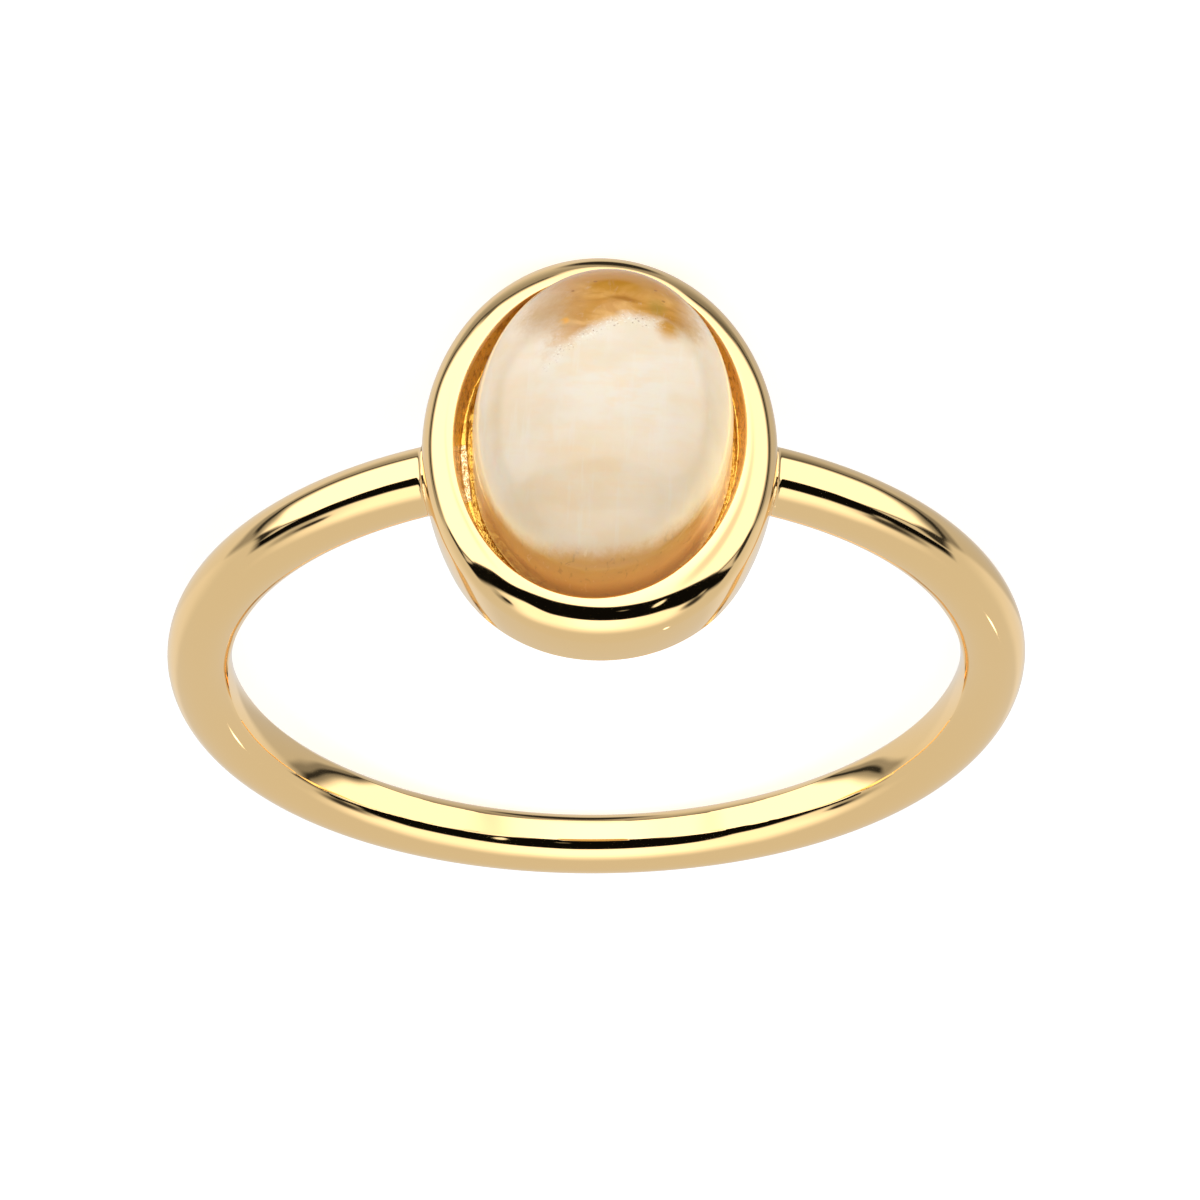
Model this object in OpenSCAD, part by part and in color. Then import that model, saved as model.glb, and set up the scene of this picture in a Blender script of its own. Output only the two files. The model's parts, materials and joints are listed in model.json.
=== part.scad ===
// Ring of polished gold wire with an oval cabochon in a bezel cup.
// It lies on its side, as it comes to rest by itself, and all sizes are in millimetres.
// The finger hole's axis leans from +Z towards +Y, and the stone faces -Y and a little up.

/* [Finger hole] */
// Diameter of the finger hole
finger_d = 17.3; // [15.5:0.1:20]

/* [Band] */
// Diameter of the round wire that the band is bent from
wire_d = 1.6; // [1.4:0.05:2]
// Depth by which the wire is flattened on the finger side
flat_depth = 0.09; // [0.05:0.01:0.2]

/* [Bezel cup] */
// Width of the cup, across the finger
bezel_w = 8.15; // [7.95:0.05:9]
// Length of the cup, along the finger
bezel_l = 10.1; // [9.8:0.05:11]
// Height of the rim above the finger hole's surface
bezel_h = 2; // [1.8:0.05:2.6]
// Radius of the rounded rim, seen across the cup
rim_round = 0.8; // [0.5:0.05:1]
// Radius of the slow inward curve of the wall below the rim
wall_curve = 7; // [5:0.5:12]
// Width of the opening that shows the stone
opening_w = 6.65; // [6.45:0.05:6.75]
// Length of the opening that shows the stone
opening_l = 8.5; // [8.4:0.05:8.8]
// Thickness of the cup's floor at its thinnest, over the finger
floor_t = 0.5; // [0.4:0.05:0.8]
// Distance by which the cup's underside stands back from the finger hole
base_gap = 0.2; // [0.05:0.05:0.3]

/* [Stone] */
// Width of the cabochon
stone_w = 5.95; // [5.8:0.05:6]
// Length of the cabochon
stone_l = 7.9; // [7.7:0.05:7.95]
// Height of the cabochon's upright side
side_h = 1.3; // [0.8:0.05:1.6]
// Height of the dome above the upright side
dome_h = 2.6; // [2:0.05:3.2]
// Shift of the stone to one side of the cup
stone_shift = 0.07; // [0:0.01:0.1]
// Shift of the stone towards the cup's lower end
stone_slide = 0.12; // [0:0.01:0.15]
// Turn of the opening and the stone in the cup, in degrees
stone_turn = 5; // [0:0.5:6]
// Gap between the stone and the cup's floor
seat_gap = 0.05; // [0.05:0.01:0.1]

/* [Hidden] */
$fn = 128;

finger_r = finger_d / 2;
wire_r = wire_d / 2;
band_r = finger_r - flat_depth + wire_r;
rim_level = finger_r + bezel_h;
widest_level = rim_level - rim_round;
floor_level = finger_r + base_gap + floor_t;
stone_level = floor_level + seat_gap;
dome_level = stone_level + side_h;
stretch = bezel_l / bezel_w;
opening_stretch = opening_l / opening_w;
stone_stretch = stone_l / stone_w;

// How far a curve's circle, stretched along the finger, reaches at a slant of t
function oval_reach(radius, stretched, t) = norm([radius * stretched * cos(t), radius * sin(t)]);

// How far below the ring's centre the far side of the band reaches when the ring leans by t
function band_reach(t) = band_r * sin(t) + wire_r;

// How far below the ring's centre the end of the cup's wall reaches when the ring leans by t
function bezel_reach(t) =
    oval_reach(wall_curve, stretch, t)
    - (wall_curve - bezel_w / 2) * stretch * cos(t)
    - widest_level * sin(t);

// Lean at which both reach the same level, found by halving the range
function rest_lean(low, high, steps) =
    let (middle = (low + high) / 2)
    steps == 0 ? middle
    : bezel_reach(middle) > band_reach(middle) ? rest_lean(middle, high, steps - 1)
    : rest_lean(low, middle, steps - 1);

lean = rest_lean(0, 45, 24);
lift = band_reach(lean);

// Reach of the stone's dome forwards and of the band backwards, which centre the ring over the origin
dome_reach = norm([dome_h * cos(lean), stone_l / 2 * sin(lean)]);
front_reach = dome_level * cos(lean) + stone_slide * sin(lean) + dome_reach;
back_reach = band_r * cos(lean) + wire_r;
middle_y = (front_reach - back_reach) / 2;

// Lays the upright ring down to rest on the far side of its band and on the end of its cup
module laid_down() {
    translate([0, middle_y, lift]) rotate([-lean, 0, 0]) children();
}

// Turns what is drawn face up, with its length along Y, to face out of the ring at the front
module facing_front() {
    rotate([90, 0, 0]) children();
}

// Wire bent into a circle, round outside and flattened on the finger side
module band() {
    color("gold")
        rotate_extrude()
            difference() {
                translate([band_r, 0]) circle(r = wire_r);
                translate([0, -wire_r]) square([finger_r, wire_d]);
            }
}

// Half of the cup's section across the finger: a wall that curves in below a rounded rim
module cup_section() {
    half_w = bezel_w / 2;
    intersection() {
        translate([half_w - wall_curve, widest_level]) circle(r = wall_curve);
        square([half_w, widest_level]);
    }
    translate([0, widest_level]) square([half_w - rim_round, rim_round]);
    intersection() {
        translate([half_w - rim_round, widest_level]) circle(r = rim_round);
        translate([half_w - rim_round, widest_level]) square(rim_round);
    }
}

// Solid cup, drawn face up, with an underside that follows the finger
module cup_body() {
    color("gold")
        difference() {
            scale([1, stretch, 1]) rotate_extrude() cup_section();
            rotate([90, 0, 0]) cylinder(r = finger_r + base_gap, h = 2 * bezel_l, center = true);
            translate([-bezel_w, -bezel_l, -bezel_w]) cube([2 * bezel_w, 2 * bezel_l, bezel_w]);
        }
}

// Room for the stone, drawn face up
module cup_hollow() {
    rotate([0, 0, -stone_turn])
        translate([0, 0, floor_level])
            scale([1, opening_stretch, 1]) cylinder(d = opening_w, h = 2 * bezel_h);
}

// Band and cup, soldered into one piece of metal
module band_with_bezel() {
    laid_down() difference() {
        union() {
            band();
            facing_front() cup_body();
        }
        facing_front() cup_hollow();
    }
}

// Upper half of a flattened ball, with a root that runs down inside the stone's side
module dome() {
    root = side_h / 2;
    intersection() {
        scale([1, 1, dome_h / (stone_w / 2)]) sphere(d = stone_w);
        translate([-stone_w, -stone_w, -root]) cube([2 * stone_w, 2 * stone_w, root + 2 * dome_h]);
    }
}

// Oval stone with an upright side and a high dome, a little out of the cup's middle
module cabochon() {
    color([0.93, 0.84, 0.7])
        laid_down() facing_front()
            translate([-stone_shift, -stone_slide, stone_level])
                rotate([0, 0, -stone_turn])
                    scale([1, stone_stretch, 1]) {
                        cylinder(d = stone_w, h = side_h);
                        translate([0, 0, side_h]) dome();
                    }
}

band_with_bezel();
cabochon();
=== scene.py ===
"""A gold ring with an oval citrine cabochon, as it lies on its side."""

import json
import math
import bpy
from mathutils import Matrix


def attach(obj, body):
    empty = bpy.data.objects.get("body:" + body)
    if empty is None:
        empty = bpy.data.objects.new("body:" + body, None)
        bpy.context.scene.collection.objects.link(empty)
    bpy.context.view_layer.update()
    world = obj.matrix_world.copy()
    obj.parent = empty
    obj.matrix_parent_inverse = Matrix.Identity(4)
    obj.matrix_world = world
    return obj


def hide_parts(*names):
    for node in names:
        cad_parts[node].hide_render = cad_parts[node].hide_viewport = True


bl_info = {
    "name": "Citrine Ring",
    "version": (1, 0, 0),
    "blender": (4, 5, 0),
    "location": "View3D > Sidebar > Ring",
    "description": "Builds a polished gold ring with an oval bezel cup and a milky citrine cabochon",
    "category": "Add Mesh",
}

import bmesh
import bpy
import numpy as np
from mathutils import Matrix, Vector, noise

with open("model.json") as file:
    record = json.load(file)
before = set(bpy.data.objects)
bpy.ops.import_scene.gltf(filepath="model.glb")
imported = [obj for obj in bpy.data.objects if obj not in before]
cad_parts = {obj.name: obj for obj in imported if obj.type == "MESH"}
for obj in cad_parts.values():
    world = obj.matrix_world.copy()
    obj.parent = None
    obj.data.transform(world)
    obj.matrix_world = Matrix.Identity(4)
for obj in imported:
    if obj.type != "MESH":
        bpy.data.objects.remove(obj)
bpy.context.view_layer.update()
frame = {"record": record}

MM = 0.001
BODY = "root"
METAL_NODE = "band_with_bezel"
STONE_NODE = "cabochon"
BORE = next(m for m in frame["record"]["mounts"] if m["name"] == "finger_hole")
FINGER_R = BORE["dims"]["r_mm"] * MM
RING_MIDDLE = Vector(BORE["pos_m"])

# Directions of the lying ring: across the finger, along it, and out through the stone
ACROSS_WAY = Vector((1, 0, 0))
FINGER_WAY = Vector(BORE["axis"]).normalized()
STONE_WAY = ACROSS_WAY.cross(FINGER_WAY)

# The photographer's view: angle off the stone's axis, roll, turn about the finger, and distance
VIEW_ANGLE = math.radians(28.95)
VIEW_ROLL = math.radians(-0.34)
VIEW_TURN = math.radians(-0.62)
VIEW_DISTANCE = 254.4 * MM

# The photograph's width, its lens and the place of the ring's middle, in its pixels
IMAGE_PIXELS = 1200
FOCAL_PIXELS = 10735
RING_PIXEL = (596.3, 659.4)


def placed(across, along, up):
    """Matrix that puts a mesh drawn on three axes where the lying ring has them."""
    turned = Matrix((across, along, up)).transposed()
    return Matrix.Translation(RING_MIDDLE) @ turned.to_4x4()


# A mesh drawn upright has the finger along Z, and one drawn face up has the stone towards Z
UPRIGHT = placed(ACROSS_WAY, -STONE_WAY, FINGER_WAY)
FACE_UP = placed(ACROSS_WAY, FINGER_WAY, STONE_WAY)


class BandSizes(bpy.types.PropertyGroup):
    """Sizes of the wire band."""

    wire: bpy.props.FloatProperty(
        name="Wire", description="Diameter of the round wire",
        default=1.6 * MM, unit="LENGTH", precision=5
    )
    flat: bpy.props.FloatProperty(
        name="Flat", description="Depth by which the wire is flattened on the finger side",
        default=0.09 * MM, unit="LENGTH", precision=5
    )
    crease: bpy.props.FloatProperty(
        name="Crease", description="Softness of the crease between the flat and the round of the wire",
        default=0.004 * MM, unit="LENGTH", precision=5
    )
    thinning: bpy.props.FloatProperty(
        name="Thinning", description="How much smaller the wire's radius is opposite the stone",
        default=0.08 * MM, unit="LENGTH", precision=5
    )
    crown: bpy.props.FloatProperty(
        name="Crown",
        description="Radius of the crown across the finger side, which runs out opposite the stone",
        default=1.3 * MM, unit="LENGTH", precision=5
    )
    rounding: bpy.props.FloatProperty(
        name="Rounding", description="How much shallower the flat is opposite the stone",
        default=0.05 * MM, unit="LENGTH", precision=5
    )
    fillet: bpy.props.FloatProperty(
        name="Solder fillet", description="Radius of the solder fillet where the wire meets the cup",
        default=0.16 * MM, unit="LENGTH", precision=5
    )
    steps: bpy.props.IntProperty(
        name="Steps", description="Rings of points along the wire between the two solder fillets",
        default=280, min=60
    )
    sides: bpy.props.IntProperty(
        name="Sides", description="Points round the wire", default=120, min=16
    )


class CupSizes(bpy.types.PropertyGroup):
    """Sizes of the bezel cup."""

    width: bpy.props.FloatProperty(
        name="Width", description="Width across the finger",
        default=8.15 * MM, unit="LENGTH", precision=5
    )
    length: bpy.props.FloatProperty(
        name="Length", description="Length along the finger",
        default=10.1 * MM, unit="LENGTH", precision=5
    )
    height: bpy.props.FloatProperty(
        name="Height", description="Height of the rim above the finger hole",
        default=2 * MM, unit="LENGTH", precision=5
    )
    rim_round: bpy.props.FloatProperty(
        name="Rim round", description="Radius of the rounded rim, across the cup",
        default=0.8 * MM, unit="LENGTH", precision=5
    )
    wall_curve: bpy.props.FloatProperty(
        name="Wall curve", description="Radius of the wall's slow inward curve",
        default=7 * MM, unit="LENGTH", precision=5
    )
    opening_w: bpy.props.FloatProperty(
        name="Opening width", description="Width of the opening",
        default=6.65 * MM, unit="LENGTH", precision=5
    )
    opening_l: bpy.props.FloatProperty(
        name="Opening length", description="Length of the opening",
        default=8.5 * MM, unit="LENGTH", precision=5
    )
    floor: bpy.props.FloatProperty(
        name="Floor", description="Thickness of the floor over the finger",
        default=0.5 * MM, unit="LENGTH", precision=5
    )
    base_gap: bpy.props.FloatProperty(
        name="Base gap", description="How far the underside stands back from the finger hole",
        default=0.2 * MM, unit="LENGTH", precision=5
    )
    edge: bpy.props.FloatProperty(
        name="Inner edge", description="Radius of the rim's inner edge",
        default=0.05 * MM, unit="LENGTH", precision=5
    )
    foot: bpy.props.FloatProperty(
        name="Foot edge", description="Radius of the edge round the underside",
        default=0.12 * MM, unit="LENGTH", precision=5
    )
    draft: bpy.props.FloatProperty(
        name="Draft", description="How much the inner wall leans in from the rim to the ledge",
        default=0.15 * MM, unit="LENGTH", precision=5
    )
    ledge: bpy.props.FloatProperty(
        name="Ledge", description="Width of the rough ledge beside the stone, where it is widest",
        default=0.17 * MM, unit="LENGTH", precision=5
    )
    ledge_depth: bpy.props.FloatProperty(
        name="Ledge depth", description="Depth of that ledge below the rim",
        default=0.65 * MM, unit="LENGTH", precision=5
    )
    grain: bpy.props.FloatProperty(
        name="Casting grain", description="Depth of the rough casting inside the cup",
        default=0.022 * MM, unit="LENGTH", precision=5
    )
    sides: bpy.props.IntProperty(
        name="Sides", description="Points round the cup", default=360, min=32
    )


class StoneSizes(bpy.types.PropertyGroup):
    """Sizes of the cabochon and its place in the cup."""

    width: bpy.props.FloatProperty(
        name="Width", description="Width across the finger",
        default=5.95 * MM, unit="LENGTH", precision=5
    )
    length: bpy.props.FloatProperty(
        name="Length", description="Length along the finger",
        default=7.9 * MM, unit="LENGTH", precision=5
    )
    side: bpy.props.FloatProperty(
        name="Side", description="Height of the upright side",
        default=1.3 * MM, unit="LENGTH", precision=5
    )
    dome: bpy.props.FloatProperty(
        name="Dome", description="Height of the dome", default=2.6 * MM, unit="LENGTH", precision=5
    )
    seat_gap: bpy.props.FloatProperty(
        name="Seat gap", description="Gap over the cup's floor",
        default=0.05 * MM, unit="LENGTH", precision=5
    )
    shift: bpy.props.FloatProperty(
        name="Shift", description="Shift across the cup, to the photograph's right",
        default=0.07 * MM, unit="LENGTH", precision=5
    )
    slide: bpy.props.FloatProperty(
        name="Slide", description="Shift along the cup, to the photograph's top",
        default=0.12 * MM, unit="LENGTH", precision=5
    )
    edge: bpy.props.FloatProperty(
        name="Base edge", description="Radius of the edge round the base",
        default=0.12 * MM, unit="LENGTH", precision=5
    )
    turn: bpy.props.FloatProperty(
        name="Turn", description="Turn of the opening and the stone in the cup",
        default=math.radians(5), subtype="ANGLE"
    )
    sides: bpy.props.IntProperty(
        name="Sides", description="Points round the stone", default=192, min=32
    )


class GoldColours(bpy.types.PropertyGroup):
    """Colours of the gold."""

    polished: bpy.props.FloatVectorProperty(
        name="Polished", description="Colour of the polished gold",
        subtype="COLOR", min=0, max=1, default=(1.0, 0.705, 0.342)
    )
    grazing: bpy.props.FloatVectorProperty(
        name="Grazing", description="Tint of what the polished gold mirrors at a grazing angle",
        subtype="COLOR", min=0, max=1, default=(1.0, 1.0, 1.0)
    )
    # Partly painted shade: the casting's own colour, made a deeper orange to stand in for light bounced
    # between the gold walls inside the cup
    cast: bpy.props.FloatVectorProperty(
        name="Cast", description="Colour of the rough casting inside the cup",
        subtype="COLOR", min=0, max=1, default=(0.9, 0.56, 0.11)
    )
    tarnish: bpy.props.FloatVectorProperty(
        name="Tarnish", description="Dark patches of that casting",
        subtype="COLOR", min=0, max=1, default=(0.55, 0.27, 0.04)
    )
    # Painted highlight: a lighter copy of the casting, put where the ledge glitters
    bright: bpy.props.FloatVectorProperty(
        name="Bright casting", description="Colour of the glittering part of that casting",
        subtype="COLOR", min=0, max=1, default=(1.0, 0.82, 0.50)
    )


class StoneColours(bpy.types.PropertyGroup):
    """Colours in the stone."""

    milk: bpy.props.FloatVectorProperty(
        name="Milk", description="Body of the stone",
        subtype="COLOR", min=0, max=1, default=(0.84, 0.73, 0.56)
    )
    pale_milk: bpy.props.FloatVectorProperty(
        name="Pale milk", description="Clouds in the body",
        subtype="COLOR", min=0, max=1, default=(0.88, 0.81, 0.70)
    )
    peach: bpy.props.FloatVectorProperty(
        name="Peach", description="Warm layers and blotches",
        subtype="COLOR", min=0, max=1, default=(0.90, 0.67, 0.40)
    )
    # Painted glow: the colour of light coming through the thin sides, painted into the stone's colour and
    # its emission
    painted_glow: bpy.props.FloatVectorProperty(
        name="Glow", description="Thin sides that light comes through",
        subtype="COLOR", min=0, max=1, default=(1.0, 0.78, 0.42)
    )
    pale_amber: bpy.props.FloatVectorProperty(
        name="Pale amber", description="Light wisps of the amber cloud",
        subtype="COLOR", min=0, max=1, default=(0.74, 0.40, 0.08)
    )
    amber: bpy.props.FloatVectorProperty(
        name="Amber", description="Body of the amber cloud",
        subtype="COLOR", min=0, max=1, default=(0.58, 0.27, 0.02)
    )
    deep_amber: bpy.props.FloatVectorProperty(
        name="Deep amber", description="Dark wisps of the amber cloud",
        subtype="COLOR", min=0, max=1, default=(0.38, 0.14, 0.005)
    )
    olive: bpy.props.FloatVectorProperty(
        name="Olive", description="Olive smear in the amber cloud",
        subtype="COLOR", min=0, max=1, default=(0.38, 0.25, 0.03)
    )
    orange: bpy.props.FloatVectorProperty(
        name="Orange", description="Small bright spot in the amber cloud",
        subtype="COLOR", min=0, max=1, default=(1.0, 0.52, 0.10)
    )
    rose: bpy.props.FloatVectorProperty(
        name="Rose", description="End of the stone beyond the cloud",
        subtype="COLOR", min=0, max=1, default=(0.48, 0.22, 0.015)
    )
    rust: bpy.props.FloatVectorProperty(
        name="Rust", description="Dark dust and spots",
        subtype="COLOR", min=0, max=1, default=(0.26, 0.09, 0.02)
    )
    fleck: bpy.props.FloatVectorProperty(
        name="Fleck", description="Pale flecks",
        subtype="COLOR", min=0, max=1, default=(0.95, 0.90, 0.80)
    )
    # Partly painted reflection: the clear end's own amber, with the gold seen through it painted in
    foot: bpy.props.FloatVectorProperty(
        name="Foot", description="Clear end that shows the gold under it",
        subtype="COLOR", min=0, max=1, default=(0.70, 0.355, 0.085)
    )


class StageColours(bpy.types.PropertyGroup):
    """Colours of the stage."""

    floor: bpy.props.FloatVectorProperty(
        name="Floor", description="Paint of the floor",
        subtype="COLOR", min=0, max=1, default=(0.92, 0.92, 0.92)
    )
    lamps: bpy.props.FloatVectorProperty(
        name="Lamps", description="Light of the studio",
        subtype="COLOR", min=0, max=1, default=(1.0, 1.0, 1.0)
    )


# Directions that the parts of a vector are measured along
AXES = ((1, 0, 0), (0, 1, 0), (0, 0, 1))


class Nodes:
    """Adds nodes to a tree and joins them up, so that a tree reads as a list of steps."""

    def __init__(self, tree):
        self.tree = tree

    def put(self, socket, value):
        """Joins a socket to another or to a Number, or sets it to a constant."""
        if isinstance(value, Number):
            value = value.socket
        if isinstance(value, bpy.types.NodeSocket):
            self.tree.links.new(value, socket)
        else:
            socket.default_value = value

    def add(self, kind, inputs=(), out=0, **settings):
        """One node with its settings and inputs, by name or place, and gives one of its outputs."""
        node = self.tree.nodes.new(kind)
        for name, value in settings.items():
            setattr(node, name, value)
        for name, value in dict(inputs).items():
            self.put(node.inputs[name], value)
        return node.outputs[out] if out is not None else node

    def maths(self, operation, *values):
        """A Math node, as a Number."""
        return Number(self, self.add("ShaderNodeMath", enumerate(values), operation=operation))

    def vectors(self, operation, inputs, out=0):
        """A Vector Math node."""
        return self.add("ShaderNodeVectorMath", inputs, out, operation=operation)

    def parts(self, vector, axes=AXES):
        """How far a vector reaches along each axis, as Numbers."""
        return [Number(self, self.vectors("DOT_PRODUCT", {0: vector, 1: axis}, "Value")) for axis in axes]

    def shade(self, values):
        """Sets a material's shader, socket by socket."""
        for name, value in values.items():
            self.put(self.tree.nodes["Principled BSDF"].inputs[name], value)


class Number:
    """A value that nodes work out, so that a pattern reads as plain arithmetic."""

    def __init__(self, nodes, socket):
        self.nodes = nodes
        self.socket = socket

    def __add__(self, other):
        return self.nodes.maths("ADD", self, other)

    def __radd__(self, other):
        return self.nodes.maths("ADD", other, self)

    def __sub__(self, other):
        return self.nodes.maths("SUBTRACT", self, other)

    def __rsub__(self, other):
        return self.nodes.maths("SUBTRACT", other, self)

    def __mul__(self, other):
        return self.nodes.maths("MULTIPLY", self, other)

    def __rmul__(self, other):
        return self.nodes.maths("MULTIPLY", other, self)

    def __truediv__(self, other):
        return self.nodes.maths("DIVIDE", self, other)

    def __rtruediv__(self, other):
        return self.nodes.maths("DIVIDE", other, self)

    def __pow__(self, other):
        return self.nodes.maths("POWER", self, other)

    def __abs__(self):
        return self.nodes.maths("ABSOLUTE", self)

    def most(self, other):
        """The greater of two values."""
        return self.nodes.maths("MAXIMUM", self, other)

    def rise(self, low, high):
        """Goes smoothly from 0 at the low value to 1 at the high one."""
        given = {"Value": self, "From Min": low, "From Max": high}
        risen = self.nodes.add("ShaderNodeMapRange", given, interpolation_type="SMOOTHSTEP")
        return Number(self.nodes, risen)

    def toward(self, other, share):
        """Mixes in a share of another value."""
        return self + (other - self) * share


def settings():
    """The scene's ring sizes and colours."""
    return bpy.context.scene.citrine_ring


def solid(colour):
    """A colour property as a socket takes it."""
    return (*colour, 1)


def new_mesh_object(name, points, faces):
    """An object in the scene with a mesh of its own, and its faces turned outwards."""
    mesh = bpy.data.meshes.new(name)
    mesh.from_pydata(points, [], faces)
    body = bmesh.new()
    body.from_mesh(mesh)
    bmesh.ops.recalc_face_normals(body, faces=body.faces)
    body.to_mesh(mesh)
    body.free()
    made = bpy.data.objects.new(name, mesh)
    bpy.context.scene.collection.objects.link(made)
    return made


def skinned(rings):
    """Points and faces of a closed skin over rings of equally many points, with a pole at each end."""
    count = len(rings[0])
    points = np.concatenate([[np.mean(rings[0], 0)], *rings, [np.mean(rings[-1], 0)]])
    here = np.arange(count)
    after = (here + 1) % count
    last = len(points) - 1
    faces = [(0, 1 + a, 1 + b) for a, b in zip(here, after)]
    for k in range(len(rings) - 1):
        low, high = 1 + k * count, 1 + (k + 1) * count
        faces += [(low + a, high + a, high + b, low + b) for a, b in zip(here, after)]
    top = 1 + (len(rings) - 1) * count
    faces += [(top + a, last, top + b) for a, b in zip(here, after)]
    return points, [tuple(int(i) for i in face) for face in faces]


def widest_level(cup):
    """Height above the finger's axis at which the cup is widest."""
    return FINGER_R + cup.height - cup.rim_round


# Rings of points along the wire in each solder fillet, and in its stretch inside the cup
FILLET_RINGS = 72
BURIED_RINGS = 24
# The wire thins with this power of the cosine, counted from opposite the stone
THINNING_POWER = 4


def wire_path(sizes, cup):
    """Points of the band's middle line, drawn upright, and the wire's scale at each."""
    radius = sizes.wire / 2
    reach = FINGER_R - sizes.flat + radius
    wall = cup.width / 2
    start = math.asin((wall - sizes.fillet) / (reach + radius))
    end = math.asin((wall + sizes.fillet) / (reach - radius))
    fillet = np.linspace(start, end, FILLET_RINGS)
    far = np.linspace(end, 2 * math.pi - end, sizes.steps)[1:-1]
    near = np.linspace(-start, start, BURIED_RINGS)[1:-1]
    angles = np.concatenate([fillet, far, (2 * math.pi - fillet)[::-1], near])
    behind = np.clip(-np.cos(angles), 0, 1) ** THINNING_POWER
    thick = radius - sizes.thinning * behind
    middle = reach - (sizes.thinning - sizes.rounding) * behind
    points = np.stack([np.sin(angles) * middle, -np.cos(angles) * middle, 0 * angles], -1)
    return points, thick / radius


# The wire's points crowd this many ways round, two of which are its creases, by this share
CROWDS = 7
CROWDING = 0.7


def swept_wire(n, given):
    """Sweeps a round wire along the path, with its points crowded towards its creases."""
    swell = n.add("GeometryNodeInputNamedAttribute", {"Name": "swell"}, data_type="FLOAT")
    path = n.add("GeometryNodeMeshToCurve", {"Mesh": given["Path"]})
    path = n.add("GeometryNodeSetCurveNormal", {"Curve": path}, mode="Z_UP")
    circle = {"Resolution": given["Sides"], "Radius": given["Wire Radius"]}
    profile = n.add("GeometryNodeCurvePrimitiveCircle", circle)
    spot = n.add("GeometryNodeInputPosition")
    right, up, _ = n.parts(spot)
    turned = n.maths("ARCTAN2", up, right) * CROWDS
    nudge = n.maths("SINE", turned) * (-CROWDING / CROWDS)
    crowded = n.add("ShaderNodeVectorRotate", {"Vector": spot, "Angle": nudge}, rotation_type="Z_AXIS")
    profile = n.add("GeometryNodeSetPosition", {"Geometry": profile, "Position": crowded})
    return n.add("GeometryNodeCurveToMesh", {"Curve": path, "Profile Curve": profile, "Scale": swell})


# Across the finger, towards the stone and along the finger, for a mesh drawn upright
UPRIGHT_AXES = ((1, 0, 0), (0, -1, 0), (0, 0, 1))


def filleted(n, wire, given):
    """Swells the wire into a solder fillet where it meets the cup's wall."""
    across, front, along = n.parts(n.add("GeometryNodeInputPosition"), UPRIGHT_AXES)
    fillet = Number(n, given["Fillet"])
    curve = Number(n, given["Wall Curve"])

    # The wall's distance from the cup's middle shrinks below its widest level
    below = Number(n, given["Widest Level"]) - front
    wall = Number(n, given["Cup Radius"]) - curve + (curve * curve - below * below).most(0) ** 0.5
    away = (across * across + (along / Number(n, given["Stretch"])) ** 2) ** 0.5 - wall
    left = (fillet - away.most(0)).most(0)
    flare = (fillet - (fillet * fillet - left * left).most(0) ** 0.5) * front.rise(0, 1 * MM)
    outward = n.vectors("SCALE", {0: n.add("GeometryNodeInputNormal"), "Scale": flare})
    return n.add("GeometryNodeSetPosition", {"Geometry": wire, "Offset": outward})


# Distance from the wire's middle at which the crown meets the finger's surface
CROWN_WIDTH = 0.25 * MM
# Heights away from the stone, in finger radii, up to which the crown is full and at which it has run out
CROWN_FULL = 0.7
CROWN_GONE = 0.95


def flattened(n, wire, given):
    """Moves points that are nearer than the crowned surface on the finger side out to it."""
    place = n.add("GeometryNodeInputPosition")
    _, front, along = n.parts(place, UPRIGHT_AXES)
    finger = Number(n, given["Finger Radius"])
    crown = (along * along - CROWN_WIDTH**2) / Number(n, given["Crown"]) / 2
    crowned = finger + crown * (front / finger).rise(-CROWN_GONE, -CROWN_FULL)
    level = n.vectors("MULTIPLY", {0: place, 1: (1, 1, 0)})
    height = n.vectors("MULTIPLY", {0: place, 1: (0, 0, 1)})
    reach = n.vectors("LENGTH", {0: level}, "Value")
    kept = n.maths("SMOOTH_MAX", reach, crowned, given["Crease"])
    moved = n.vectors("SCALE", {0: level, "Scale": kept / reach})
    target = n.vectors("ADD", {0: moved, 1: height})
    return n.add("GeometryNodeSetPosition", {"Geometry": wire, "Position": target})


def wire_tree():
    """Geometry nodes that make the wire from the path of its middle."""
    tree = bpy.data.node_groups.new("Wire band", "GeometryNodeTree")
    tree.is_modifier = True
    face = tree.interface
    face.new_socket("Path", in_out="INPUT", socket_type="NodeSocketGeometry")
    lengths = (
        "Wire Radius", "Finger Radius", "Crown", "Crease",
        "Fillet", "Cup Radius", "Wall Curve", "Widest Level"
    )
    for name in lengths:
        socket = face.new_socket(name, in_out="INPUT", socket_type="NodeSocketFloat")
        socket.subtype = "DISTANCE"
    face.new_socket("Stretch", in_out="INPUT", socket_type="NodeSocketFloat")
    face.new_socket("Sides", in_out="INPUT", socket_type="NodeSocketInt")
    face.new_socket("Metal", in_out="INPUT", socket_type="NodeSocketMaterial")
    face.new_socket("Wire", in_out="OUTPUT", socket_type="NodeSocketGeometry")
    n = Nodes(tree)
    given = n.add("NodeGroupInput", out=None).outputs
    wire = swept_wire(n, given)
    wire = filleted(n, wire, given)
    wire = flattened(n, wire, given)
    wire = n.add("GeometryNodeRealizeInstances", {"Geometry": wire})
    wire = n.add("GeometryNodeSetMaterial", {"Geometry": wire, "Material": given["Metal"]})
    n.add("NodeGroupOutput", {"Wire": wire}, out=None)
    return tree


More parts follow.
